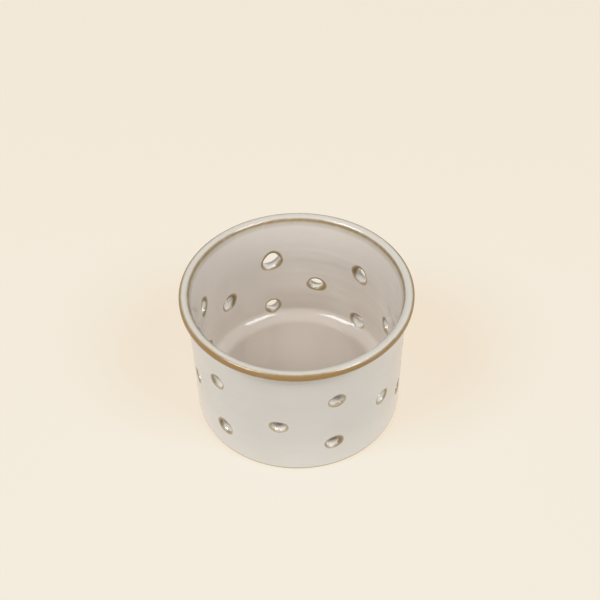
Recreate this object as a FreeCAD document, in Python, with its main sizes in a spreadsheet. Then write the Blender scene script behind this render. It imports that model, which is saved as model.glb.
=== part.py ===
"""Cheese mold (faisselle): one thrown stoneware cup with eighteen drain holes, under a glaze.

Millimetres, +Z up.  The origin is the centre of the foot, on the surface that the mold stands on.

The cup is fired clay.  Its glaze is four separate coats: outside, inside, on top of the rim, and
one sleeve in each drain hole.  On every outer corner the glaze has run thin and the clay comes
flush with it: along both edges of the rim, round the mouths of the holes and at the foot.  So the
finished cup is drawn first, each coat is a zone of its skin, and the clay is what remains.
"""
import FreeCAD, Part
import os

import Sketcher
from FreeCAD import Placement, Rotation, Vector

DIMENSIONS = {
    # the finished cup from the middle of its foot outwards and up: foot ring, wall, neck and rim
    "recess_depth": 3.0,
    "recess_radius": 45.0,
    "recess_rounding": 2.0,
    "foot_inner_radius": 46.5,
    "foot_inner_rounding": 0.8,
    "foot_radius": 54.5,
    "foot_height": 0.0,
    "foot_rounding": 1.6,
    "waist_radius": 55.1,
    "waist_height": 38.0,
    "waist_rounding": 120.0,
    "neck_radius": 56.2,
    "neck_height": 71.0,
    "neck_rounding": 4.5,
    "rim_radius": 59.75,
    "rim_underside": 73.8,
    "rim_rounding": 1.85,
    "overall_height": 77.6,
    # then down the inside: mouth, flaring throat, wall, cove and floor
    "mouth_radius": 55.2,
    "mouth_rounding": 3.0,
    "throat_radius": 49.8,
    "throat_height": 63.1,
    "throat_rounding": 72.0,
    "cove_top_radius": 49.6,
    "cove_top_height": 13.5,
    "cove_top_rounding": 3.2,
    "floor_radius": 45.4,
    "floor_height": 10.2,
    "floor_rounding": 10.5,
    # the glaze coats, and the lines where they end
    "coat_thickness": 0.4,
    "foot_line": 1.7,
    "lip_line": 73.2,
    "liner_line": 74.0,
    "band_inner_radius": 55.6,
    "band_outer_radius": 58.3,
    # a cone down the middle of the wall, which parts the outside coat from the inside one
    "mid_wall_foot_radius": 52.5,
    "mid_wall_rim_radius": 54.8,
    # the drain holes: the bare edge round each mouth, and the cutters that reach through the wall
    "bare_edge": 0.8,
    "cutter_start": 44.0,
    "cutter_length": 20.0,
}

# Each hole, punched by hand: azimuth (degrees anticlockwise from +X) and height of its centre,
# the long and short diameters of its mouth, and how far the long one leans from upright,
# towards the rising azimuth.  Each row is turned about half a pitch from the row below it.
HOLES = {
    "top": (
        (46.2, 51.6, 11.0, 9.6, 10),
        (105.4, 52.0, 12.4, 10.9, -38),
        (167.0, 54.3, 10.0, 9.6, 0),
        (223.1, 51.0, 9.3, 9.1, 90),
        (290.0, 50.9, 9.4, 8.1, 65),
        (350.0, 50.5, 9.2, 9.0, 0),
    ),
    "middle": (
        (17.0, 34.4, 9.4, 9.2, 0),
        (77.3, 34.1, 9.9, 8.8, 90),
        (137.9, 35.0, 9.7, 9.6, 0),
        (199.5, 34.5, 9.2, 9.0, 0),
        (259.2, 33.9, 9.4, 8.0, 90),
        (320.6, 33.7, 9.1, 9.0, 0),
    ),
    "bottom": (
        (47.0, 16.2, 10.0, 8.8, 90),
        (105.7, 18.4, 9.7, 9.0, 0),
        (164.8, 20.8, 9.5, 9.2, 0),
        (226.2, 18.1, 9.6, 9.3, 0),
        (288.6, 18.7, 9.4, 8.3, 60),
        (342.0, 21.1, 8.9, 8.8, 0),
    ),
}
HOLE_CELLS = ("azimuth", "height", "long", "short", "lean")

# An upright outline drawn in the XY plane faces outwards along +X, with its own X axis up.
FACING_OUT = Rotation(Vector(1, 0, 1), 180)

doc = FreeCAD.newDocument("cheese_mold")


def make_sheet():
    """Writes the driving dimensions and every hole's own numbers under their aliases."""
    made = doc.addObject("Spreadsheet::Sheet", "dimensions")
    values = dict(DIMENSIONS)
    for row, holes in HOLES.items():
        for number, hole in enumerate(holes, 1):
            values |= {f"{row}_{name}_{number}": v for name, v in zip(HOLE_CELLS, hole)}
    for line, (alias, value) in enumerate(values.items(), 1):
        made.set(f"A{line}", alias.replace("_", " "))
        made.set(f"B{line}", str(value))
        made.setAlias(f"B{line}", alias)
    doc.recompute()
    return made


sheet = make_sheet()


def bind(thing, formulas):
    """Ties properties of a document object to formulas of the sheet's cells."""
    for name, formula in formulas.items():
        thing.setExpression(name, formula)
    return thing


def cell(alias):
    """The sheet's cell of this name, as it is written in a formula."""
    return f"dimensions.{alias}"


def along_wall(height, low, high):
    """Formula of a wall face's radius at a height, on the cone between two corners' cells."""
    share = f"({height} - {cell(low)}_height) / ({cell(high)}_height - {cell(low)}_height)"
    return f"{cell(low)}_radius + {share} * ({cell(high)}_radius - {cell(low)}_radius)"


def turned_cup(name, outline):
    """A PartDesign body turned round Z from corners given as (radius, height, rounding) cells."""
    body = doc.addObject("PartDesign::Body", name)
    planes = {feature.Role: feature for feature in body.Origin.OriginFeatures}
    sketch = body.newObject("Sketcher::SketchObject", f"{name}_outline")
    sketch.AttachmentSupport = [(planes["XZ_Plane"], "")]
    sketch.MapMode = "FlatFace"
    values = [[getattr(sheet, c) if c else 0.0 for c in corner] for corner in outline]
    corners = [Vector(radius, height, 0) for radius, height, _ in values]
    for start, end in zip(corners, corners[1:] + corners[:1]):
        sketch.addGeometry(Part.LineSegment(start, end), False)
    for line in range(len(outline)):
        following = (line + 1) % len(outline)
        sketch.addConstraint(Sketcher.Constraint("Coincident", line, 2, following, 1))

    driving = {}

    def constrain(constraint, row_name, alias):
        row = sketch.addConstraint(constraint)
        sketch.renameConstraint(row, row_name)
        if alias:
            driving[row_name] = cell(alias)

    for line, (corner, value) in enumerate(zip(outline, values)):
        for kind, alias, size in zip(("DistanceX", "DistanceY"), corner, value):
            place = Sketcher.Constraint(kind, -1, 1, line, 1, size)
            constrain(place, f"corner_{line}_{kind}", alias)
    for line, (corner, value) in enumerate(zip(outline, values)):
        if corner[2]:
            before, after = sketch.Geometry[line - 1], sketch.Geometry[line]
            sketch.fillet(line - 1, line, before.StartPoint, after.EndPoint, value[2], True, True)
            arcs = [n for n, g in enumerate(sketch.Geometry) if isinstance(g, Part.ArcOfCircle)]
            rounding = Sketcher.Constraint("Radius", arcs[-1], value[2])
            constrain(rounding, f"rounding_{line}", corner[2])
    for row_name, formula in driving.items():
        sketch.setExpression(f"Constraints.{row_name}", formula)
    turn = body.newObject("PartDesign::Revolution", f"{name}_turned")
    turn.Profile = sketch
    turn.ReferenceAxis = (sketch, ["V_Axis"])
    turn.Angle = 360
    return body


def cylinder(name, radius, bottom, top):
    """An upright cylinder about Z between two heights, each given as a formula."""
    made = doc.addObject("Part::Cylinder", name)
    sizes = {"Radius": radius, "Height": f"({top}) - ({bottom})", "Placement.Base.z": bottom}
    return bind(made, sizes)


def boolean(kind, name, base, tool):
    """A Part boolean of two document objects: Part::Cut or Part::Common."""
    made = doc.addObject(kind, name)
    made.Base = base
    made.Tool = tool
    return made


def joined(name, pieces):
    """A Part fuse of several document objects."""
    made = doc.addObject("Part::MultiFuse", name)
    made.Shapes = pieces
    return made


def hole_rod(name, row, number, inset, start, end):
    """An oval rod along one hole, inset from its mouth's outline, between two radii."""
    own = {key: cell(f"{row}_{key}_{number}") for key in HOLE_CELLS}
    lean = Rotation(Vector(0, 0, 1), -getattr(sheet, f"{row}_lean_{number}"))
    oval = doc.addObject("Part::Ellipse", f"{name}_oval")
    oval.Placement = Placement(Vector(0, 0, 0), FACING_OUT * lean)
    bind(oval, {
        "MajorRadius": f"{own['long']} / 2 - ({inset})",
        "MinorRadius": f"{own['short']} / 2 - ({inset})",
        "Placement.Base.x": start,
    })
    rod = doc.addObject("Part::Extrusion", name)
    rod.Base = oval
    rod.DirMode = "Custom"
    rod.Dir = Vector(1, 0, 0)
    rod.Solid = True
    rod.Placement = Placement(Vector(0, 0, 0), Rotation(Vector(0, 0, 1), 1))
    return bind(rod, {
        "LengthFwd": f"({end}) - ({start})",
        "Placement.Rotation.Angle": own["azimuth"],
        "Placement.Base.z": own["height"],
    })


# The finished cup, from the middle of the foot up the outside, then down the inside to the floor.
finished_cup = turned_cup("finished_cup", (
    (None, "recess_depth", None),
    ("recess_radius", "recess_depth", "recess_rounding"),
    ("foot_inner_radius", "foot_height", "foot_inner_rounding"),
    ("foot_radius", "foot_height", "foot_rounding"),
    ("waist_radius", "waist_height", "waist_rounding"),
    ("neck_radius", "neck_height", "neck_rounding"),
    ("rim_radius", "rim_underside", "rim_rounding"),
    ("rim_radius", "overall_height", "rim_rounding"),
    ("mouth_radius", "overall_height", "mouth_rounding"),
    ("throat_radius", "throat_height", "throat_rounding"),
    ("cove_top_radius", "cove_top_height", "cove_top_rounding"),
    ("floor_radius", "floor_height", "floor_rounding"),
    (None, "floor_height", None),
))

# Everything deeper than one coat's thickness, and the skin that is left round it.
core = doc.addObject("Part::Offset", "core")
core.Source = finished_cup
core.Mode = "Skin"
core.Join = "Arc"
bind(core, {"Value": "-dimensions.coat_thickness"})
skin = boolean("Part::Cut", "skin", finished_cup, core)

# The rods that open the coats at each mouth, pierce the clay, and line it.
mouths = []
bores = []
sleeves = []
bore_inset = cell("bare_edge")
glazed_inset = "dimensions.bare_edge + dimensions.coat_thickness"
for row, holes in HOLES.items():
    for number in range(1, len(holes) + 1):
        through = (cell("cutter_start"), "dimensions.cutter_start + dimensions.cutter_length")
        height = cell(f"{row}_height_{number}")
        inner_face = along_wall(height, "cove_top", "throat")
        outer_face = along_wall(height, *(("waist", "neck") if row == "top" else ("foot", "waist")))
        place = f"{row}_{number}"
        mouths.append(hole_rod(f"mouth_{place}", row, number, "0", *through))
        bores.append(hole_rod(f"bore_{place}", row, number, bore_inset, *through))
        ends = (f"{inner_face} + dimensions.bare_edge", f"{outer_face} - dimensions.bare_edge")
        lining = hole_rod(f"lining_{place}", row, number, bore_inset, *ends)
        lumen = hole_rod(f"lumen_{place}", row, number, glazed_inset, *through)
        sleeves.append(boolean("Part::Cut", f"sleeve_{place}", lining, lumen))
all_mouths = joined("all_mouths", mouths)
all_bores = joined("all_bores", bores)

# The zones of the skin that each coat covers.
mid_wall = bind(doc.addObject("Part::Cone", "mid_wall"), {
    "Radius1": cell("mid_wall_foot_radius"),
    "Radius2": cell("mid_wall_rim_radius"),
    "Height": cell("overall_height"),
})
wide = "dimensions.rim_radius * 2"
outside_span = cylinder("outside_span", wide, cell("foot_line"), cell("lip_line"))
outside = boolean("Part::Cut", "outside", outside_span, mid_wall)
inside_span = cylinder("inside_span", wide, "dimensions.floor_height / 2", cell("liner_line"))
inside = boolean("Part::Common", "inside", inside_span, mid_wall)
mid_rim = "(dimensions.rim_underside + dimensions.overall_height) / 2"
band_disc = cylinder("band_disc", cell("band_outer_radius"), mid_rim, wide)
band_middle = cylinder("band_middle", cell("band_inner_radius"), "0", wide)
on_rim = boolean("Part::Cut", "on_rim", band_disc, band_middle)


def coat(name, zone):
    """One glaze coat: the skin inside a zone, open at the mouths of the holes."""
    whole = boolean("Part::Common", f"{name}_whole", skin, zone)
    return boolean("Part::Cut", name, whole, all_mouths)


outer_glaze = coat("outer_glaze", outside)
liner_glaze = coat("liner_glaze", inside)
rim_glaze = boolean("Part::Common", "rim_glaze", skin, on_rim)
hole_glaze = doc.addObject("Part::Compound", "hole_glaze")
hole_glaze.Links = sleeves

coats = joined("coats", [outer_glaze, liner_glaze, rim_glaze])
clay_solid = boolean("Part::Cut", "clay_solid", finished_cup, coats)
clay_body = boolean("Part::Cut", "clay_body", clay_solid, all_bores)

NODES = (clay_body, outer_glaze, liner_glaze, rim_glaze, hole_glaze)
SOLIDS_IN = {"hole_glaze": len(sleeves)}

doc.recompute()
for thing in doc.Objects:
    if {"Invalid", "Error"} & set(thing.State):
        raise RuntimeError(f"{thing.Label} did not compute: {thing.State}")
os.makedirs("parts", exist_ok=True)
for node in NODES:
    node.Label = node.Name
    shape = node.Shape
    if shape.isNull() or not shape.isValid():
        raise RuntimeError(f"{node.Label} has no valid shape")
    if len(shape.Solids) != SOLIDS_IN.get(node.Label, 1):
        raise RuntimeError(f"{node.Label} has {len(shape.Solids)} solids")
    shape.exportStep(f"parts/{node.Label}.step")
    box = shape.optimalBoundingBox()
    print(f"{node.Label}: {len(shape.Solids)} solid(s), {shape.Volume / 1000:.2f} cm3, "
          f"z {box.ZMin:.2f} to {box.ZMax:.2f}, radius {box.XMax:.2f}")
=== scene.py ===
"""Looks of the cheese mold: its glazed stoneware, the floor it stands on, the light and the camera.

The finished cup is one closed skin, worked out in millimetres from its outline and its drain holes.
The skin is then divided as on the real pot. Each glaze coat is a closed solid that reaches a coat's
thickness below the skin, and the clay is what lies under the coats and between them.
"""
import math

import bpy
import numpy as np
from mathutils import Matrix, Vector


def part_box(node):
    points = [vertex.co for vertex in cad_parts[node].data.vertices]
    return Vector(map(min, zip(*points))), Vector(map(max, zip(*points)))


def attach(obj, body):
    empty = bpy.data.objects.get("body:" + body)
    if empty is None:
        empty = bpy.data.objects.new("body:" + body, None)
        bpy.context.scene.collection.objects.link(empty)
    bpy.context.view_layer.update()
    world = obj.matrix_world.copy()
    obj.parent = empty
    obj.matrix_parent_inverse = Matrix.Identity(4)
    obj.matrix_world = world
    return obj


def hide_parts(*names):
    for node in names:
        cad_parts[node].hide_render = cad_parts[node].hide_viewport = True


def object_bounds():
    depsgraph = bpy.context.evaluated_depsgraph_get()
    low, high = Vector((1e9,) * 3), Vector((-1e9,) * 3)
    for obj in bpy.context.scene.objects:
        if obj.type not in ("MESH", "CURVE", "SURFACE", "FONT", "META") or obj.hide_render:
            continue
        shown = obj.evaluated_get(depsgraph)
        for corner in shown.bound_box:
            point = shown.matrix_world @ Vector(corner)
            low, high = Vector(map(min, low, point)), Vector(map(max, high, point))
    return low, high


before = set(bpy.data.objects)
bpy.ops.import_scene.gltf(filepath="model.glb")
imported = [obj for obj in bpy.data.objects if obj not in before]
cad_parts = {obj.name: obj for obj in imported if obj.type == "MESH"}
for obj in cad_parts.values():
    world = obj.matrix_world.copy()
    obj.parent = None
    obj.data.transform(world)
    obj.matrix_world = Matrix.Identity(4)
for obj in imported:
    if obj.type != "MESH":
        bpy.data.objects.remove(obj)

MM = 0.001
TURN = 2 * math.pi
cad_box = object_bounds()
random = np.random.default_rng(7)

# ------------------------------------------------------------------ the cup's outline, millimetres

# the rim is drawn in a little, so that no part of the skin reaches out of the CAD box
DRAWN_IN = 0.04
clay_low, clay_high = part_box("clay_body")
RIM_RADIUS = (clay_high.x - clay_low.x) / 2 / MM - DRAWN_IN
HEIGHT = cad_box[1][2] / MM
RECESS_HEIGHT = 3.0
FLOOR_HEIGHT = 10.2
NECK_HEIGHT = 71.0
INNER_RADIUS = 49.6

# (radius, height, rounding) of each corner, from the foot's centre up the outside, over the rim
# and down the inside to the floor's centre
OUTLINE = (
    (0.0, RECESS_HEIGHT, 0.0),
    (45.0, RECESS_HEIGHT, 2.0),
    (46.5, 0.0, 0.8),
    (54.5, 0.0, 1.6),
    (55.1, 38.0, 120.0),
    (56.2, NECK_HEIGHT, 4.5),
    (RIM_RADIUS, 73.8, 1.85),
    (RIM_RADIUS, HEIGHT, 1.85),
    (55.2, HEIGHT, 3.0),
    (49.8, 63.1, 72.0),
    (INNER_RADIUS, 13.5, 3.2),
    (45.4, FLOOR_HEIGHT, 10.5),
    (0.0, FLOOR_HEIGHT, 0.0),
)

# Marks on the outline: the outer face lies outside FOOT_EDGE, the rim's flat top above RIM_TOP, the
# throat inside THROAT_RADIUS, the cove below COVE_HEIGHT and the flat floor inside FLOOR_RADIUS.
FOOT_EDGE = 53.0
RIM_TOP = 76.0
THROAT_RADIUS = 55.0
COVE_HEIGHT = 15.0
FLOOR_RADIUS = 41.8

# The coats: their thickness, the heights at which the outer one starts and ends and at which the
# liner starts, and the radii between which the rim's band lies.
COAT = 0.4
FOOT_LINE = 1.7
LIP_LINE = 73.2
LINER_LINE = 74.0
BAND_INNER = 55.6
BAND_OUTER = 58.3

# The potter's finger marks. Each is a wave up the wall: its spacing, its depth, and how many times
# the face's phase it starts at. They sway up and down round the pot, and are deep in some places
# and faint in others. The wall also swells a little, at a slant that turns by a radian over
# SWELL_RISE. All of it begins above the cove and ends below the neck, each over a span of heights.
FINGER_MARKS = ((5.3, 0.035, 1), (3.1, 0.025, 2), (13.0, 0.05, 3))
MARKS_SWAY = 0.4
MARKS_DEPTH, MARKS_CHANGE = 0.65, 0.35
SWELL, SWELL_RISE = 0.06, 20
MARKS_BEGIN, MARKS_END = (13, 20), (58, 65)
FACE_PHASE = {"outside": 0.4, "inside": 2.1}

# The drain holes: how far a mouth lies outside its CAD sleeve, the rounding of its edge and what
# share of it a place may have, how much narrower a bore is in the middle of the wall, and the
# radius at which an offset across a hole is turned into an azimuth.
SLEEVE_TO_MOUTH = 0.8
EDGE_ROUNDING = 0.95
ROUNDING_MEAN, ROUNDING_CHANGE = 0.85, 0.25
ROUNDING_RANGE = (0.6, 1.15)
BORE_WAIST = 0.8
BORE_RADIUS = 54.0

# how far the hand has pushed a mouth's outline in and out, as shares of its radius: three waves
# round the mouth, then four and two, then five
MOUTH_WAVES = (0.022, 0.016, 0.01)

# The brown ring round each mouth, by the wall's side: its least and most strength, how far it
# spreads over the wall, and how far round the edge it is whole and then gone.
RINGS = {
    "outside": {"strength": (0.42, 0.50), "spread": 0.8, "edge": (0.9, 1.5)},
    "inside": {"strength": (0.50, 0.62), "spread": 0.9, "edge": (0.9, 1.5)},
}

# how much stronger and weaker a ring is from place to place: two waves round the mouth, and three
RING_PATCHES = (0.14, 0.10)

# On the inside a ring is fainter at the front of the pot, which counts as 1 and the back as -1, and
# melts away towards the floor, between two heights. At the front that side lies in shade, and the
# fainter ring paints light into it. Into the bore, both rings fade out over a share of the wall.
FRONT_ARC, SHADED_FRONT_LIGHTENING = (0.0, 0.6), 0.5
MELTED = (11.5, 14.5)
BORE_FADE = 0.25

# Glaze has run off one side of some holes: (azimuth, height) of the hole, the wall's side, and the
# direction across the hole in degrees, from the rising azimuth towards +Z.
RUNS = (
    (105.4, 52.0, "inside", 95),
    (77.3, 34.1, "inside", 195),
    (46.2, 51.6, "inside", 60),
    (137.9, 35.0, "inside", 130),
    (167.0, 54.3, "inside", 100),
    (47.0, 16.2, "inside", 60),
    (226.2, 18.1, "outside", 150),
    (288.6, 18.7, "outside", 20),
)

# A run: how near its place has to be to the hole's, the cosines of the angles between which it
# fades in, and what it adds to the ring's strength, its spread and its way round the edge.
RUN_NEAR = 4
RUN_ARC = (0.2, 1.0)
RUN_STRENGTH, RUN_SPREAD, RUN_DEPTH = 0.3, 0.9, 2

# The skin's grid: columns round the pot, the levels that both faces of the wall share, and the
# spacing of all other rows. A row outside one of the radii has the columns divided by the number
# beside that radius.
COLUMNS = 288
COLUMN_STEP = TURN / COLUMNS
LEVELS = np.concatenate([np.arange(10.8, 16.0, 0.65), np.arange(16.0, 62.5, 1.2)])
LIP_ROWS, NECK_ROWS, COVE_ROWS, FLAT_ROWS = 0.4, 1.1, 0.7, 2.4
COLUMN_SHARES = ((24, 1), (12, 2), (6, 4), (0, 8))

# A window in the grid round each hole: how far it reaches past the mouth, and how many rings fill
# it on the wall, where they crowd towards the mouth, round the edge, and along the bore.
WINDOW_MARGIN = 1.8
MARGIN_RINGS = 5
MARGIN_CROWDING = 1.5
EDGE_RINGS = 6
BORE_RINGS = 5


def smooth(low, high, x):
    """0 below low, 1 above high, and an even curve between."""
    share = np.clip((np.asarray(x, float) - low) / (high - low), 0, 1)
    return share * share * (3 - 2 * share)


def rounded_outline(corners, step=0.05):
    """Close points along the straight runs between corners and the arcs that round them."""
    points = [np.array(corners[0][:2])]
    for before, here, after in zip(corners, corners[1:], corners[2:]):
        corner = np.array(here[:2])
        back = np.array(before[:2]) - corner
        ahead = np.array(after[:2]) - corner
        back /= np.linalg.norm(back)
        ahead /= np.linalg.norm(ahead)
        half = math.acos(back @ ahead) / 2
        middle = (back + ahead) / np.linalg.norm(back + ahead)
        centre = corner + middle * here[2] / math.sin(half)
        first = corner + back * here[2] / math.tan(half) - centre
        last = corner + ahead * here[2] / math.tan(half) - centre
        turn = math.pi - 2 * half
        share = np.linspace(0, 1, max(2, int(here[2] * turn / step)))[:, None]
        arc = (np.sin((1 - share) * turn) * first + np.sin(share * turn) * last) / math.sin(turn)
        points.extend(centre + arc)
    points.append(np.array(corners[-1][:2]))
    dense = []
    for start, end in zip(points, points[1:]):
        count = max(1, int(np.linalg.norm(end - start) / step))
        dense.extend(start + (end - start) * share for share in np.arange(count) / count)
    return np.array(dense + [points[-1]])


# the outline as close points, with the first one at full height, the first one on the table and
# the first one at full width
path = rounded_outline(OUTLINE)
top = int(np.argmax(path[:, 1]))
standing = int(np.argmax(path[:, 1] <= 0))
widest = int(np.argmax(path[:, 0]))

# the outside and the inside of the wall, both from low to high
rising, falling = path[:top], path[top:][::-1]
WALL_LINES = {
    "outside": rising[(rising[:, 0] > FOOT_EDGE) & (rising[:, 1] < NECK_HEIGHT)],
    "inside": falling[(falling[:, 0] > FLOOR_RADIUS) & (falling[:, 1] < NECK_HEIGHT)],
}


def relief(azimuth, height, phase):
    """The potter's finger marks: height of the skin over the plain wall."""
    rise = height + MARKS_SWAY * np.sin(azimuth + phase)
    marks = sum(depth * np.sin(rise * TURN / spacing + times * phase)
                for spacing, depth, times in FINGER_MARKS)
    fading = MARKS_DEPTH + MARKS_CHANGE * np.sin(azimuth * 2 + phase * 3)
    swell = SWELL * np.sin(azimuth * 3 + height / SWELL_RISE + phase)
    on_wall = smooth(*MARKS_BEGIN, height) * (1 - smooth(*MARKS_END, height))
    return (marks * fading + swell) * on_wall


def wall_radius(side, azimuth, height):
    """Radius of the outside or inside face of the wall at a place."""
    plain = np.interp(height, WALL_LINES[side][:, 1], WALL_LINES[side][:, 0])
    raised = relief(azimuth, height, FACE_PHASE[side])
    return plain + raised if side == "outside" else plain - raised


# ------------------------------------------------------------------------------- the drain holes


def solids_of(node):
    """The points of each separate solid of a CAD node, in millimetres."""
    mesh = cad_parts[node].data
    points = np.array([v.co for v in mesh.vertices]) / MM
    places, where = np.unique(points.round(3), axis=0, return_inverse=True)
    edges = where.ravel()[np.array([e.vertices for e in mesh.edges])]
    label = np.arange(len(places))
    while True:
        lowest = label.copy()
        shared = np.minimum(label[edges[:, 0]], label[edges[:, 1]])
        np.minimum.at(lowest, edges[:, 0], shared)
        np.minimum.at(lowest, edges[:, 1], shared)
        if (lowest == label).all():
            return [places[label == each] for each in np.unique(label)]
        label = lowest


class Hole:
    """One drain hole, read from its CAD sleeve: where it is, and its outline by angle.

    Across a hole, `right` points along the rising azimuth and `up` along +Z.
    """

    def __init__(self, points):
        azimuth = math.atan2(points[:, 1].mean(), points[:, 0].mean())
        out = np.array([math.cos(azimuth), math.sin(azimuth)])
        right = points[:, :2] @ np.array([-out[1], out[0]])
        shift = (right.max() + right.min()) / 2
        self.azimuth = azimuth + math.asin(shift / np.linalg.norm(points[:, :2], axis=1).mean())
        self.height = (points[:, 2].max() + points[:, 2].min()) / 2
        right = right - shift
        up = points[:, 2] - self.height
        # the sleeve is an oval, and how far it reaches at a slant tells which way it leans
        wide, tall = right.max(), up.max()
        slant = ((right + up) / math.sqrt(2)).max()
        lean = slant ** 2 - (wide ** 2 + tall ** 2) / 2
        self.form = np.linalg.inv(np.array([[wide ** 2, lean], [lean, tall ** 2]]))
        self.reach = (wide + SLEEVE_TO_MOUTH, tall + SLEEVE_TO_MOUTH)
        self.unevenness = random.uniform(-1, 1, 6)
        self.runs = {side: toward for azimuth, height, side, toward in RUNS
                     if self.distance_to(azimuth, height) < RUN_NEAR}

    def distance_to(self, azimuth, height):
        """How far the hole is from an azimuth in degrees and a height, both taken as lengths."""
        turned = math.remainder(math.degrees(self.azimuth) - azimuth, 360)
        return math.hypot(self.height - height, turned)

    def mouth(self, angle):
        """Distance of the mouth's outline from the hole's axis, with the hand's unevenness."""
        way = np.stack([np.cos(angle), np.sin(angle)], -1)
        oval = 1 / np.sqrt(np.einsum("...i,ij,...j", way, self.form, way)) + SLEEVE_TO_MOUTH
        a, b, c, d, e, f = self.unevenness
        threes, fours, fives = MOUTH_WAVES
        uneven = threes * (a * np.cos(3 * angle) + b * np.sin(3 * angle))
        uneven += fours * (c * np.cos(4 * angle) + d * np.sin(2 * angle))
        return oval * (1 + uneven + fives * np.sin(5 * angle + 3 * e + f))

    def place(self, side, right, up, depth):
        """The point of a wall face at this offset across the hole, moved into the wall by depth."""
        height = self.height + up
        radius = wall_radius(side, self.azimuth + right / BORE_RADIUS, height)
        out = np.sqrt(radius ** 2 - right ** 2)
        return self.at(out - depth if side == "outside" else out + depth, right, up)

    def narrowed(self, points, amount):
        """Points moved towards the hole's axis by a distance."""
        cos, sin = math.cos(self.azimuth), math.sin(self.azimuth)
        out = points[:, 0] * cos + points[:, 1] * sin
        right = points[:, 1] * cos - points[:, 0] * sin
        up = points[:, 2] - self.height
        kept = 1 - amount / np.hypot(right, up)
        return self.at(out, right * kept, up * kept)

    def at(self, out, right, up):
        """The point this far out from the pot's axis, at this offset across the hole."""
        cos, sin = math.cos(self.azimuth), math.sin(self.azimuth)
        return np.stack([out * cos - right * sin, out * sin + right * cos, self.height + up], -1)


# ------------------------------------------------------------------------------------- the skin

# the regions of the skin, one for each CAD node
REGIONS = ("clay_body", "outer_glaze", "rim_glaze", "liner_glaze", "hole_glaze")
CLAY, OUTER, RIM, LINER, SLEEVE = range(len(REGIONS))

# the distance along the outline to each of its points
ALONG = np.concatenate([[0], np.cumsum(np.linalg.norm(np.diff(path, axis=0), axis=1))])


def along_to(first, reached):
    """Distance along the outline of its first point, from a starting one, that meets a test."""
    return ALONG[first + int(np.argmax(reached(path[first:, 0], path[first:, 1])))]


FOOT_END = along_to(standing, lambda radius, height: height > FOOT_LINE)
LIP_START = along_to(standing, lambda radius, height: height > LIP_LINE)
BAND_START = along_to(widest, lambda radius, height: (height > RIM_TOP) & (radius < BAND_OUTER))
BAND_END = along_to(widest, lambda radius, height: radius < BAND_INNER)
LINER_START = along_to(
    top, lambda radius, height: (radius < THROAT_RADIUS) & (height < LINER_LINE))
COVE_START = along_to(top, lambda radius, height: height < COVE_HEIGHT)
FLOOR_START = along_to(top, lambda radius, height: radius < FLOOR_RADIUS)

# Where the skin is bare. The foot's bareness ends over a span of the outline, in millimetres past
# FOOT_END. The outer line beside the band begins past LIP_START and ends past BAND_START. The line
# in the throat begins past BAND_END, and ends past it too: it is brown, with a wider, fainter grey
# band beyond that darkens the throat below the lip.
FOOT_SPAN = (-0.9, 0.1)
OUTER_BEGIN, OUTER_END = (0.1, 2.2), (-2.2, 0.45)
THROAT_BEGIN = (-0.2, 1.6)
BROWN_END, FAINT_END = (1.6, 3.9), (3.0, 7.0)
BROWN, FAINT = 0.74, 0.27

# How far the lines beside the band are moved, and how far they wander round the pot. The outer one
# is also narrower round one azimuth, between two cosines of the angle from it.
OUTER_SHIFT, OUTER_WANDER = 0.6, 0.15
THROAT_SHIFT, THROAT_WANDER = 0.3, 0.35
NARROWER, NARROWEST_AT, NARROW_ARC = 0.55, math.radians(-40), (0.75, 0.97)

# Painted light and darker glaze along the outline: how much, and the span over which that changes,
# in millimetres past a place on the outline. Outside, painted light brightens the glaze near the
# foot, for light thrown up by the floor, and in the neck under the rim, where shade falls. Inside,
# the glaze is darker down the low wall and on the floor.
PAINTED_FOOT_LIGHT_SPAN = (-3, 32)
PAINTED_NECK_LIGHT, PAINTED_NECK_LIGHT_SPAN = 0.9, (-8, -2)
LOW_WALL_DARKER, LOW_WALL_DARKER_SPAN = 0.34, (-22, -3)
FLOOR_DARKER, FLOOR_DARKER_SPAN = 0.66, (-3.5, 1.5)


def region_at(along):
    """The region of the skin at a distance along the outline, away from the holes."""
    if FOOT_END < along < LIP_START:
        return OUTER
    if BAND_START < along < BAND_END:
        return RIM
    return LINER if along > LINER_START else CLAY


def past(place, span, along):
    """From 0 to 1 over a span of the outline that is measured from a place on it."""
    return smooth(place + span[0], place + span[1], along)


def bareness(along, azimuth):
    """How bare of glaze the skin is at a distance along the outline, from 0 to 1.

    The bare lines beside the rim's band wander a little, and the outer one is narrow at the front
    right. Below the throat's brown line the value also holds a wider, fainter grey band.
    """
    foot = 1 - past(FOOT_END, FOOT_SPAN, along)
    reached = along - BAND_START - OUTER_SHIFT - OUTER_WANDER * np.sin(azimuth)
    reached = reached + NARROWER * smooth(*NARROW_ARC, np.cos(azimuth - NARROWEST_AT))
    outer_line = past(LIP_START, OUTER_BEGIN, along) * (1 - smooth(*OUTER_END, reached))
    reached = along - BAND_END + THROAT_SHIFT - THROAT_WANDER * np.cos(azimuth)
    brown = BROWN * (1 - smooth(*BROWN_END, reached))
    faint = FAINT * (1 - smooth(*FAINT_END, reached))
    throat_line = np.maximum(brown, faint) * smooth(*THROAT_BEGIN, reached)
    return np.maximum(np.maximum(foot, outer_line), throat_line)


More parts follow.
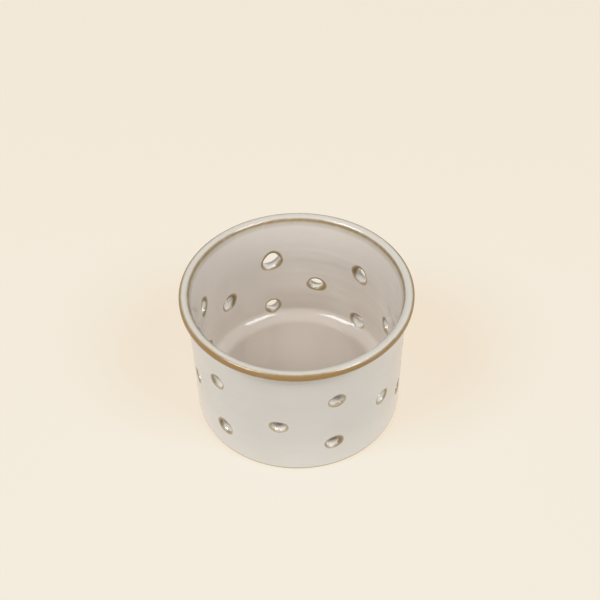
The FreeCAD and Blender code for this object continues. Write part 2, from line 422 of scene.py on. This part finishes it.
def tone_along(along):
    """Tone at a distance along the outline, 0 to 1: painted light outside, darker glaze inside."""
    # painted light near the foot, for light thrown up by the floor
    painted_foot_light = 1 - past(FOOT_END, PAINTED_FOOT_LIGHT_SPAN, along)
    # painted light in the neck under the rim, where shade falls
    in_neck = PAINTED_NECK_LIGHT * past(LIP_START, PAINTED_NECK_LIGHT_SPAN, along) * (along < BAND_START)
    darker_low_wall = LOW_WALL_DARKER * past(COVE_START, LOW_WALL_DARKER_SPAN, along)
    darker_floor = FLOOR_DARKER * past(FLOOR_START, FLOOR_DARKER_SPAN, along)
    return painted_foot_light + in_neck + darker_low_wall + darker_floor


def tone_at(side, height):
    """The tone on a wall face at a height: painted light outside, darker glaze inside."""
    if side == "outside":
        return tone_along(np.interp(height, path[standing:top, 1], ALONG[standing:top]))
    return tone_along(np.interp(height, path[top:][::-1, 1], ALONG[top:][::-1]))


class Skin:
    """The closed surface of the finished cup: its points and its faces.

    Each point has how bare of glaze it is and its tone, which paints light near the foot and in the
    neck outside and darkens the glaze low inside. A face has four points, or three and a -1, and a
    region: the coat it belongs to, or the clay.
    """

    def __init__(self):
        self.points, self.bare, self.pool, self.faces, self.regions = [], [], [], [], []
        self.count = 0

    def add_points(self, points, bare, pool=0.0):
        """Takes in points, each with its bareness and tone, and returns their numbers."""
        first = self.count
        self.points.append(points)
        self.bare.append(np.broadcast_to(bare, len(points)))
        self.pool.append(np.broadcast_to(pool, len(points)))
        self.count += len(points)
        return np.arange(first, self.count)

    def add_faces(self, corners, region):
        """Takes in faces of one region, as the numbers of their corners."""
        self.faces.append(corners)
        self.regions.append(np.full(len(corners), region))

    def add_band(self, ring, following, region):
        """Closes the band between two rings, of which one may have half the other's points."""
        ahead, following_ahead = np.roll(ring, -1), np.roll(following, -1)
        if len(ring) == len(following):
            self.add_faces(np.stack([ring, ahead, following_ahead, following], -1), region)
            return
        none = np.full(min(len(ring), len(following)), -1)
        if len(ring) > len(following):
            triangles = [ring[::2], ahead[::2], following, none]
            quads = [ahead[::2], ahead[1::2], following_ahead, following]
        else:
            triangles = [ring, following[1::2], following[::2], none]
            quads = [ring, ahead, following_ahead[1::2], following[1::2]]
        self.add_faces(np.stack(triangles, -1), region)
        self.add_faces(np.stack(quads, -1), region)


def row_step(radius, height):
    """How far apart the grid's rows are at a place on the outline."""
    on_lip = height > 70
    on_foot = height < 3 and radius > 44
    in_neck = height > 60
    in_cove = radius > 40
    if on_lip or on_foot:
        return LIP_ROWS
    if in_neck:
        return NECK_ROWS
    return COVE_ROWS if in_cove else FLAT_ROWS


def spaced(first, last):
    """Points of the outline between two of its points, at the rows' spacing, without them."""
    kept = []
    gone = 0.0
    for index in range(first + 1, last):
        gone += ALONG[index] - ALONG[index - 1]
        left = ALONG[last] - ALONG[index]
        step = row_step(*path[index])
        if gone >= step and left > step / 2:
            kept.append((*path[index], ALONG[index]))
            gone = 0.0
    return kept


def outline_rows():
    """The grid's rows as (radius, height, distance along), and which of them lie on each face.

    A row on a face of the wall has no radius of its own, and its height is one of the levels.
    """
    heights = path[:, 1]
    climb = np.searchsorted(heights[standing:top], (LEVELS[0], LEVELS[-1]))
    rise_low, rise_high = climb + standing
    fall_high = top + int(np.argmax(heights[top:] < LEVELS[-1]))
    fall_low = top + int(np.argmax(heights[top:] < LEVELS[0]))
    share = (LEVELS - LEVELS[0]) / (LEVELS[-1] - LEVELS[0])
    up_wall = ALONG[rise_low] + share * (ALONG[rise_high] - ALONG[rise_low])
    down_wall = ALONG[fall_high] + (1 - share[::-1]) * (ALONG[fall_low] - ALONG[fall_high])
    rows = spaced(0, rise_low)
    outer = range(len(rows), len(rows) + len(LEVELS))
    rows += [(None, level, along) for level, along in zip(LEVELS, up_wall)]
    rows += spaced(rise_high, fall_high)
    inner = range(len(rows), len(rows) + len(LEVELS))
    rows += [(None, level, along) for level, along in zip(LEVELS[::-1], down_wall)]
    rows += spaced(fall_low, len(path) - 1)
    return rows, outer, inner


def columns_at(radius):
    """How many columns a row has: fewer near the middle of the foot and of the floor."""
    return next(COLUMNS // share for least, share in COLUMN_SHARES if radius > least)


def azimuth_of(columns, count=COLUMNS):
    """The azimuths of columns, by their numbers, where a row has so many of them."""
    return columns * TURN / count


def window_of(hole):
    """The block of the wall's grid that one hole takes: first and last column, and level."""
    across = math.ceil((hole.reach[0] + WINDOW_MARGIN) / (INNER_RADIUS * COLUMN_STEP))
    column = round(hole.azimuth / COLUMN_STEP)
    upward = hole.reach[1] + WINDOW_MARGIN
    low, high = np.searchsorted(LEVELS, (hole.height - upward, hole.height + upward))
    return column - across, column + across, max(int(low) - 1, 0), int(high)


def border_of(window):
    """The (column, level) of each grid point round a window, anticlockwise as seen from outside."""
    left, right, low, high = window
    border = [(column, low) for column in range(left, right)]
    border += [(right, level) for level in range(low, high)]
    border += [(column, high) for column in range(right, left, -1)]
    border += [(left, level) for level in range(high, low, -1)]
    return np.array(border).T


class Mouth:
    """What the two mouths of a hole share, at each of the points round them.

    That is the angle, the direction across the hole, the distance from its axis, the rounding of
    the edge, and how patchy the brown ring is.
    """

    def __init__(self, hole, azimuths, heights):
        right = wall_radius("outside", azimuths, heights) * np.sin(azimuths - hole.azimuth)
        angle = np.arctan2(heights - hole.height, right)
        self.angle = angle
        self.way = np.cos(angle), np.sin(angle)
        self.distance = hole.mouth(angle)
        a, b, c, d = random.uniform(0, TURN, 4)
        uneven = ROUNDING_CHANGE * np.sin(2 * angle + a) * np.sin(angle + b)
        self.rounding = EDGE_ROUNDING * np.clip(ROUNDING_MEAN + uneven, *ROUNDING_RANGE)
        twos, threes = RING_PATCHES
        self.patches = 1 + twos * np.sin(2 * angle + c) + threes * np.sin(3 * angle + d)


def hole_ring(hole, side, right, up, depth, bare):
    """Points round a hole with how bare they are and their tone there: painted light or darker
    glaze.
    """
    melted = smooth(*MELTED, hole.height + up) if side == "inside" else 1.0
    pool = tone_at(side, hole.height + up)
    return hole.place(side, right, up, depth), np.minimum(bare, 1) * melted, pool


def ring_strength(hole, side, mouth):
    """How strong the brown ring round a mouth is, and how much of a run it has, by angle."""
    toward = math.radians(hole.runs.get(side, 0.0))
    run = (side in hole.runs) * smooth(*RUN_ARC, np.cos(mouth.angle - toward))
    # painted light: inside rings are fainter at the front, where that side of the wall is in shade
    front = (side == "inside") * smooth(*FRONT_ARC, -math.sin(hole.azimuth))
    strength = random.uniform(*RINGS[side]["strength"]) * mouth.patches
    return strength * (1 - SHADED_FRONT_LIGHTENING * front) + RUN_STRENGTH * run, run


def margin_and_edge(hole, side, mouth, azimuths, heights):
    """The rings over the wall from a window's border to the mouth, then round the mouth's edge."""
    strength, run = ring_strength(hole, side, mouth)
    spread = RINGS[side]["spread"] * mouth.patches + RUN_SPREAD * run
    right = wall_radius(side, azimuths, heights) * np.sin(azimuths - hole.azimuth)
    up = heights - hole.height
    rings = []
    for step in range(1, MARGIN_RINGS + 1):
        share = 1 - (1 - step / (MARGIN_RINGS + 1)) ** MARGIN_CROWDING
        across = right + (mouth.distance * mouth.way[0] - right) * share
        upward = up + (mouth.distance * mouth.way[1] - up) * share
        beyond = np.hypot(across, upward) - mouth.distance
        bare = strength * (1 - smooth(0.0, 1.0, beyond / spread))
        rings.append(hole_ring(hole, side, across, upward, 0.0, bare))
    for step in range(EDGE_RINGS + 1):
        turn = math.pi / 2 * step / EDGE_RINGS
        distance = mouth.distance - mouth.rounding * math.sin(turn)
        across, upward = distance * mouth.way[0], distance * mouth.way[1]
        depth = mouth.rounding * (1 - math.cos(turn))
        round_edge = mouth.rounding * turn / mouth.patches - RUN_DEPTH * run
        bare = strength * (1 - smooth(*RINGS[side]["edge"], round_edge))
        rings.append(hole_ring(hole, side, across, upward, depth, bare))
    return rings


def bore_rings(hole, outer_end, inner_end):
    """The rings along the bore, with how bare they are, between the last rings of both edges."""
    outer_points, outer_bare, _ = outer_end
    inner_points, inner_bare, _ = inner_end
    rings = []
    for step in range(1, BORE_RINGS):
        share = step / BORE_RINGS
        points = outer_points * (1 - share) + inner_points * share
        points = hole.narrowed(points, BORE_WAIST * math.sin(math.pi * share))
        from_outside = outer_bare * (1 - share / BORE_FADE)
        from_inside = inner_bare * (1 - (1 - share) / BORE_FADE)
        rings.append((points, np.maximum(np.maximum(from_outside, from_inside), 0)))
    return rings


def pierce(skin, hole, window, borders):
    """Fills a window on both faces of the wall with the hole: margins, rounded edges and bore."""
    columns, levels = border_of(window)
    azimuths, heights = azimuth_of(columns), LEVELS[levels]
    mouth = Mouth(hole, azimuths, heights)
    outside = margin_and_edge(hole, "outside", mouth, azimuths, heights)
    inside = margin_and_edge(hole, "inside", mouth, azimuths, heights)
    outer = [skin.add_points(*ring) for ring in outside]
    inner = [skin.add_points(*ring) for ring in inside]
    bore = [skin.add_points(*ring) for ring in bore_rings(hole, outside[-1], inside[-1])]
    rings = [borders["outside"], *outer, *bore, *inner[::-1], borders["inside"]]
    margin, edge, sleeve = MARGIN_RINGS + 1, [CLAY] * EDGE_RINGS, [SLEEVE] * BORE_RINGS
    bands = [OUTER] * margin + edge + sleeve + edge + [LINER] * margin
    for ring, following, region in zip(rings, rings[1:], bands):
        skin.add_band(ring, following, region)


def turned_rings(skin, rows, outer):
    """Adds the points of the grid's rows to the skin, and returns their numbers row by row."""
    rings = []
    for index, (radius, height, along) in enumerate(rows):
        count = COLUMNS if radius is None else columns_at(radius)
        azimuth = azimuth_of(np.arange(count), count)
        if radius is None:
            radius = wall_radius("outside" if index in outer else "inside", azimuth, height)
        ring = [radius * np.cos(azimuth), radius * np.sin(azimuth), np.full(count, height)]
        rings.append(skin.add_points(np.stack(ring, -1), bareness(along, azimuth), tone_along(along)))
    return rings


def cells_in(windows):
    """The columns that windows take out of the grid, by level."""
    taken = {}
    for left, right, low, high in windows:
        for level in range(low, high):
            columns = (column % COLUMNS for column in range(left, right))
            taken.setdefault(level, set()).update(columns)
    return taken


def close_grid(skin, rows, rings, outer, inner, taken):
    """Adds the faces between the grid's rows, all but the cells that the holes take."""
    for index, (ring, following) in enumerate(zip(rings, rings[1:])):
        region = region_at((rows[index][2] + rows[index + 1][2]) / 2)
        level = None
        if index in outer[:-1]:
            level = index - outer[0]
        elif index in inner[:-1]:
            level = inner[-1] - index - 1
        cut = sorted(taken.get(level, ()))
        if cut:
            whole = np.stack([ring, np.roll(ring, -1), np.roll(following, -1), following], -1)
            skin.add_faces(np.delete(whole, cut, axis=0), region)
        else:
            skin.add_band(ring, following, region)


def close_middle(skin, ring, height, glazed):
    """Closes the middle of the glazed floor, or of the bare underside, with a fan of triangles."""
    bare, pool = (0.0, 1.0) if glazed else (1.0, 0.0)
    middle = skin.add_points(np.array([[0.0, 0.0, height]]), bare, pool)
    ahead = np.roll(ring, -1)
    pair = [ring, ahead] if glazed else [ahead, ring]
    fan = [*pair, np.full(len(ring), middle[0]), np.full(len(ring), -1)]
    skin.add_faces(np.stack(fan, -1), LINER if glazed else CLAY)


def make_skin():
    """The whole finished surface: a turned grid, with a window round each hole."""
    skin = Skin()
    rows, outer, inner = outline_rows()
    holes = [Hole(points) for points in solids_of("hole_glaze")]
    windows = [window_of(hole) for hole in holes]
    rings = turned_rings(skin, rows, outer)
    close_grid(skin, rows, rings, outer, inner, cells_in(windows))
    outer_grid = np.stack([rings[index] for index in outer])
    inner_grid = np.stack([rings[index] for index in inner[::-1]])
    for hole, window in zip(holes, windows):
        columns, levels = border_of(window)
        columns = columns % COLUMNS
        borders = {"outside": outer_grid[levels, columns], "inside": inner_grid[levels, columns]}
        pierce(skin, hole, window, borders)
    close_middle(skin, rings[0], RECESS_HEIGHT, glazed=False)
    close_middle(skin, rings[-1], FLOOR_HEIGHT, glazed=True)
    return skin


def renumbered(faces, count):
    """The points that faces use, out of so many, and the faces with only those points counted."""
    used = np.unique(faces[faces >= 0])
    number = np.full(count, -1)
    number[used] = np.arange(len(used))
    return used, np.where(faces >= 0, number[faces], -1)


def finished(skin):
    """The skin as plain arrays, without unused points, and each point's normal."""
    points = np.concatenate(skin.points)
    glaze = np.stack([np.concatenate(skin.bare), np.concatenate(skin.pool)], -1)
    regions = np.concatenate(skin.regions)
    used, faces = renumbered(np.concatenate(skin.faces), len(points))
    points, glaze = points[used], glaze[used]
    last = np.where(faces[:, 3] >= 0, faces[:, 3], faces[:, 2])
    diagonal = points[faces[:, 2]] - points[faces[:, 0]]
    other = points[last] - points[faces[:, 1]]
    across = np.cross(diagonal, other)
    normals = np.zeros_like(points)
    for corner in range(4):
        there = faces[:, corner] >= 0
        np.add.at(normals, faces[there, corner], across[there])
    normals /= np.linalg.norm(normals, axis=1)[:, None]
    return points, normals, glaze, faces, regions


# --------------------------------------------------------------------------- pieces from the skin


def open_edges(faces):
    """The edges with a face on one side only, as (from, to) in that face's direction."""
    starts, ends = [], []
    for corner in range(4):
        following = faces[:, (corner + 1) % 4]
        if corner == 2:
            following = np.where(following >= 0, following, faces[:, 0])
        there = (faces[:, corner] >= 0) & (following >= 0)
        starts.append(faces[there, corner])
        ends.append(following[there])
    start, end = np.concatenate(starts), np.concatenate(ends)
    size = faces.max() + 1
    lone = ~np.isin(start * size + end, end * size + start)
    return start[lone], end[lone]


def flipped(faces):
    """The same faces seen from behind."""
    turned = faces[:, ::-1].copy()
    triangles = faces[:, 3] < 0
    turned[triangles] = faces[triangles][:, [2, 1, 0, 3]]
    return turned


def make_piece(name, node, points, glaze, faces, corner_normals, material):
    """Makes a mesh object from arrays in millimetres, which rides on the root for a CAD node."""
    used, faces = renumbered(faces, len(points))
    there = (faces >= 0).ravel()
    corners = faces.ravel()[there]
    sizes = (faces >= 0).sum(1)
    mesh = bpy.data.meshes.new(name)
    mesh.vertices.add(len(used))
    mesh.vertices.foreach_set("co", (points[used] * MM).astype(np.float32).ravel())
    mesh.loops.add(len(corners))
    mesh.loops.foreach_set("vertex_index", corners.astype(np.int32))
    mesh.polygons.add(len(faces))
    starts = np.concatenate([[0], np.cumsum(sizes)[:-1]])
    mesh.polygons.foreach_set("loop_start", starts.astype(np.int32))
    mesh.update(calc_edges=True)
    mesh.validate()
    for column, attribute in enumerate(("bare", "pool")):
        values = mesh.attributes.new(attribute, "FLOAT", "POINT").data
        values.foreach_set("value", glaze[used, column].astype(np.float32))
    mesh.shade_smooth()
    mesh.normals_split_custom_set(corner_normals.reshape(-1, 3)[there].tolist())
    mesh.materials.append(material)
    piece = bpy.data.objects.new(name, mesh)
    bpy.context.scene.collection.objects.link(piece)
    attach(piece, "root")
    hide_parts(node)


def side_walls(faces, count):
    """Quads from the open edges of some faces down to the sunk points, which follow the skin's."""
    start, end = open_edges(faces)
    return np.stack([end, start, start + count, end + count], -1)


def flat_normals(faces, points):
    """Each face's own normal, at each of its four corners."""
    diagonal = points[faces[:, 2]] - points[faces[:, 0]]
    other = points[faces[:, 3]] - points[faces[:, 1]]
    across = np.cross(diagonal, other)
    across /= np.maximum(np.linalg.norm(across, axis=1), 1e-12)[:, None]
    return np.repeat(across[:, None], 4, axis=1)


def divide(skin_arrays, materials):
    """Makes the clay and each glaze coat from the skin."""
    points, normals, glaze, faces, regions = skin_arrays
    count = len(points)
    both = np.concatenate([points, points - normals * COAT])
    both_glaze = np.concatenate([glaze, glaze])
    for region, node in enumerate(REGIONS):
        own = faces[regions == region]
        walls = side_walls(own, count)
        if region == CLAY:
            rest = faces[regions != CLAY]
            under = np.where(rest >= 0, rest + count, -1)
            under_normals = normals[np.maximum(rest, 0)]
        else:
            under = flipped(own)
            under_normals = -normals[np.maximum(under, 0)]
            under = np.where(under >= 0, under + count, -1)
        everything = np.concatenate([own, under, walls])
        corner_normals = np.concatenate([
            normals[np.maximum(own, 0)], under_normals, flat_normals(walls, both)])
        make_piece("pot_" + node, node, both, both_glaze, everything, corner_normals,
                   materials[node])


# --------------------------------------------------------------------------------------- materials


# A Mix node's sockets for colours, by number: the ones for its other kinds have the same names.
MIX_FIRST, MIX_SECOND, MIX_RESULT = 6, 7, 2


class Nodes:
    """A material's node tree, with short calls to add nodes and wires."""

    def __init__(self, name):
        self.material = bpy.data.materials.new(name)
        self.material.use_nodes = True
        self.tree = self.material.node_tree
        self.shader = self.tree.nodes["Principled BSDF"]

    def add(self, kind, inputs=None, **settings):
        """A new node; each input is given a value or wired to another node's output."""
        node = self.tree.nodes.new(kind)
        for name, value in settings.items():
            setattr(node, name, value)
        for socket, value in (inputs or {}).items():
            if isinstance(value, bpy.types.NodeSocket):
                self.tree.links.new(value, node.inputs[socket])
            else:
                node.inputs[socket].default_value = value
        return node

    def noise(self, where, scale, detail):
        """A cloudy pattern that lies about a half."""
        made = self.add("ShaderNodeTexNoise", {"Scale": scale, "Detail": detail, "Vector": where})
        return made.outputs["Fac"]

    def about(self, middle, noise, spread, clamp=False):
        """A noise moved from a half to another middle, and stretched."""
        return self.maths("MULTIPLY_ADD", noise, spread, middle - spread / 2, clamp)

    def maths(self, operation, first, second, third=0.0, clamp=False):
        """The result of arithmetic on two or three values."""
        inputs = {0: first, 1: second, 2: third}
        made = self.add("ShaderNodeMath", inputs, operation=operation, use_clamp=clamp)
        return made.outputs[0]

    def ramp(self, factor, stops):
        """A colour that follows a value through stops of (value, colour)."""
        made = self.add("ShaderNodeValToRGB", {"Fac": factor})
        slots = made.color_ramp.elements
        while len(slots) < len(stops):
            slots.new(0.5)
        for slot, (place, colour) in zip(slots, stops):
            slot.position = place
            slot.color = (*colour, 1)
        return made.outputs["Color"]

    def mix(self, blend, factor, first, second):
        """Two colours blended, the second over the first by a factor."""
        inputs = {"Factor": factor, MIX_FIRST: first, MIX_SECOND: second}
        made = self.add("ShaderNodeMix", inputs, data_type="RGBA", blend_type=blend)
        return made.outputs[MIX_RESULT]

    def wire(self, output, socket):
        """Wires an output to the surface itself."""
        self.tree.links.new(output, self.shader.inputs[socket])


# each glaze's colours: its own, and a deeper one that it is mottled with
GLAZE, GLAZE_DEEP = (0.715, 0.69, 0.662), (0.672, 0.642, 0.608)
EDGE, EDGE_DEEP = (0.64, 0.62, 0.59), (0.60, 0.575, 0.545)
INSIDE, INSIDE_DEEP = (0.648, 0.597, 0.543), (0.628, 0.572, 0.513)
# the glaze in the holes is paler than on the walls, which paints light into the bores
BORE_LIGHTENED, BORE_LIGHTENED_DEEP = (0.73, 0.705, 0.66), (0.68, 0.65, 0.605)
BAND, BAND_DEEP = (0.558, 0.53, 0.48), (0.53, 0.50, 0.45)

# what tints a glaze by its tone, as a pair: at a tone of 0 and at a tone of 1. Outside, the glaze
# is greyer on the walls than at the foot and in the neck, which paints light there; inside, it is
# darker towards the floor.
WHITE = (1.0, 1.0, 1.0)
EVEN = (WHITE, WHITE)
PAINTED_LIGHT_TINTS = ((0.89, 0.89, 0.893), WHITE)
DARKER_TOWARDS_FLOOR = (WHITE, (0.77, 0.74, 0.71))

# the brown that glaze breaks to: how thin it is, and the colour, from ash to iron
GLAZED_UNTIL = 0.05
BROWNS = (
    (0.27, (0.49, 0.448, 0.372)),
    (0.45, (0.42, 0.34, 0.235)),
    (0.68, (0.295, 0.222, 0.14)),
    (0.95, (0.288, 0.175, 0.06)),
)

# The glaze's patterns, as (scale, detail): broad patches, the fraying of the brown, the fine change
# of gloss, and ripples. Then how strongly they act, with the ripples' height in metres, and how
# soon the brown covers the glaze as it thins.
PATCHES, FRAY, FINE, RIPPLES = (45, 3), (330, 2), (420, 4), (130, 2)
FRAYING, PATCHINESS, MOTTLING, GLOSS_CHANGE = 0.55, 0.5, 1.6, 0.04
RIPPLE_HEIGHT = 0.0004
COVERING = 6.0
GLASS_IOR = 1.5


def glazed_stoneware(name, pale, deep, tone_tints, gloss, shine=0.5, ripples=0.12):
    """Glaze over iron-bearing clay: brown where it is thin, softly mottled where it is thick.

    `tone_tints` is the pair of colours that tint it by its tone; on the outside glaze they paint
    light at the foot and in the neck.
    """
    nodes = Nodes(name)
    where = nodes.add("ShaderNodeTexCoord").outputs["Object"]
    bare = nodes.add("ShaderNodeAttribute", attribute_name="bare").outputs["Fac"]
    pool = nodes.add("ShaderNodeAttribute", attribute_name="pool").outputs["Fac"]
    patches = nodes.noise(where, *PATCHES)

    frayed = nodes.about(0.0, nodes.noise(where, *FRAY), FRAYING)
    wear = nodes.maths("ADD", frayed, nodes.about(0.0, patches, PATCHINESS))
    thin = nodes.maths("ADD", bare, nodes.maths("MULTIPLY", wear, bare), clamp=True)
    brown = nodes.ramp(thin, ((GLAZED_UNTIL, pale), *BROWNS))

    mottled = nodes.about(0.5, patches, MOTTLING, clamp=True)
    thick = nodes.ramp(mottled, ((0.0, deep), (1.0, pale)))
    tint = nodes.ramp(pool, ((0.0, tone_tints[0]), (1.0, tone_tints[1])))
    tinted = nodes.mix("MULTIPLY", 1.0, thick, tint)
    cover = nodes.maths("MULTIPLY", thin, COVERING, clamp=True)
    nodes.wire(nodes.mix("MIX", cover, tinted, brown), "Base Color")

    nodes.wire(nodes.about(gloss, nodes.noise(where, *FINE), GLOSS_CHANGE), "Roughness")
    height = nodes.noise(where, *RIPPLES)
    inputs = {"Strength": ripples, "Distance": RIPPLE_HEIGHT, "Height": height}
    nodes.wire(nodes.add("ShaderNodeBump", inputs).outputs["Normal"], "Normal")
    nodes.shader.inputs["IOR"].default_value = GLASS_IOR
    nodes.shader.inputs["Specular IOR Level"].default_value = shine
    return nodes.material


def coat_materials():
    """The material of the clay's bare edges and of each coat, by CAD node."""
    clay = glazed_stoneware(
        "stoneware_edges", EDGE, EDGE_DEEP, EVEN, gloss=0.05, shine=0.42, ripples=0.04)
    # painted light: the outside glaze is brighter at the foot and in the neck than on its walls
    outer = glazed_stoneware("glaze_outside", GLAZE, GLAZE_DEEP, PAINTED_LIGHT_TINTS, gloss=0.22)
    rim = glazed_stoneware("glaze_rim", BAND, BAND_DEEP, EVEN, gloss=0.05, shine=0.3, ripples=0.04)
    liner = glazed_stoneware(
        "glaze_inside", INSIDE, INSIDE_DEEP, DARKER_TOWARDS_FLOOR, gloss=0.035, shine=0.36, ripples=0.07)
    # painted light: the bores' glaze is paler than the walls'
    holes = glazed_stoneware("glaze_in_holes_lightened", BORE_LIGHTENED, BORE_LIGHTENED_DEEP, EVEN, gloss=0.06, ripples=0.3)
    return dict(zip(REGIONS, (clay, outer, rim, liner, holes)))


# painted light: the paper glows by itself, warm, and this glow is most of its brightness, which
# keeps the mold's shadow on it faint; what it reflects is bluish, so that the shadow is warmer than
# the rest
PAPER = (0.058, 0.138, 0.199)
PAPER_GLOW = (0.828, 0.657, 0.466)


def studio_paper():
    """The plain cream surface that the mold stands on, which glows by itself."""
    nodes = Nodes("studio_paper")
    nodes.shader.inputs["Base Color"].default_value = (*PAPER, 1)
    nodes.shader.inputs["Roughness"].default_value = 0.9
    nodes.shader.inputs["Specular IOR Level"].default_value = 0.0
    nodes.shader.inputs["Emission Color"].default_value = (*PAPER_GLOW, 1)
    nodes.shader.inputs["Emission Strength"].default_value = 1.0
    return nodes.material


# --------------------------------------------------------------------------------- floor and light

FLOOR_HALF = 3.0

# the two softboxes: name, azimuth in degrees and power in watts, then what they share, in degrees
# and metres
SOFTBOXES = (("softbox_right", -36, 63), ("softbox_left", -150, 68))
SOFTBOX_ELEVATION = 50
SOFTBOX_DISTANCE = 3.0
SOFTBOX_SIDE = 1.3
AIM = Vector((0, 0, 0.04))

ROOM = (1.0, 0.97, 0.93)
ROOM_STRENGTH = 0.2


def make_floor():
    """A sheet of paper far larger than the view."""
    corners = [(x * FLOOR_HALF, y * FLOOR_HALF, 0) for x, y in ((-1, -1), (1, -1), (1, 1), (-1, 1))]
    mesh = bpy.data.meshes.new("floor")
    mesh.from_pydata(corners, [], [(0, 1, 2, 3)])
    mesh.materials.append(studio_paper())
    floor = bpy.data.objects.new("floor", mesh)
    bpy.context.scene.collection.objects.link(floor)


def softbox(name, azimuth, power):
    """A square lamp that shines at the pot from an azimuth."""
    lamp = bpy.data.lights.new(name, "AREA")
    lamp.shape = "RECTANGLE"
    lamp.size = SOFTBOX_SIDE
    lamp.size_y = SOFTBOX_SIDE
    lamp.energy = power
    lamp.color = WHITE
    made = bpy.data.objects.new(name, lamp)
    around, above = math.radians(azimuth), math.radians(SOFTBOX_ELEVATION)
    level = math.cos(above)
    way = Vector((math.cos(around) * level, math.sin(around) * level, math.sin(above)))
    made.location = way * SOFTBOX_DISTANCE + AIM
    made.rotation_euler = way.to_track_quat("Z", "Y").to_euler()
    bpy.context.scene.collection.objects.link(made)


def light_studio():
    """Two softboxes, front left and front right, in a pale warm room."""
    for name, azimuth, power in SOFTBOXES:
        softbox(name, azimuth, power)
    world = bpy.data.worlds.new("room")
    world.use_nodes = True
    background = world.node_tree.nodes["Background"]
    background.inputs["Color"].default_value = (*ROOM, 1)
    background.inputs["Strength"].default_value = ROOM_STRENGTH
    bpy.context.scene.world = world


# ------------------------------------------------------------------------------------------ camera

# Chosen so that the pot's outline lies where the photo has it. Distances are in millimetres. Pan,
# tilt and roll turn the camera away from the target.
CAMERA_LENS = 75.0
CAMERA_DISTANCE = 658.5
CAMERA_ELEVATION = math.radians(46.47)
CAMERA_PAN = math.radians(-0.150)
CAMERA_TILT = math.radians(1.827)
CAMERA_ROLL = math.radians(-1.11)
CAMERA_TARGET = Vector((0, 0, 40.0))
NEAREST_SEEN = 10.0


def make_camera():
    """Looks down on the pot from the front, from two thirds of a metre away."""
    look = Vector((0, math.cos(CAMERA_ELEVATION), -math.sin(CAMERA_ELEVATION)))
    place = CAMERA_TARGET - look * CAMERA_DISTANCE
    side = Vector((1, 0, 0))
    look = Matrix.Rotation(CAMERA_PAN, 3, side.cross(look)) @ look
    side = Matrix.Rotation(CAMERA_PAN, 3, side.cross(look)) @ side
    look = Matrix.Rotation(CAMERA_TILT, 3, side) @ look
    side = Matrix.Rotation(CAMERA_ROLL, 3, -look) @ side
    up = side.cross(look)
    camera = bpy.data.objects.new("camera", bpy.data.cameras.new("camera"))
    camera.data.lens = CAMERA_LENS
    turned = Matrix((side, up, -look)).transposed().to_4x4()
    camera.matrix_world = Matrix.Translation(place * MM) @ turned
    camera.data.clip_start = NEAREST_SEEN * MM
    bpy.context.scene.collection.objects.link(camera)
    bpy.context.scene.camera = camera


divide(finished(make_skin()), coat_materials())
make_floor()
light_studio()
make_camera()
bpy.context.scene.view_settings.view_transform = "Standard"
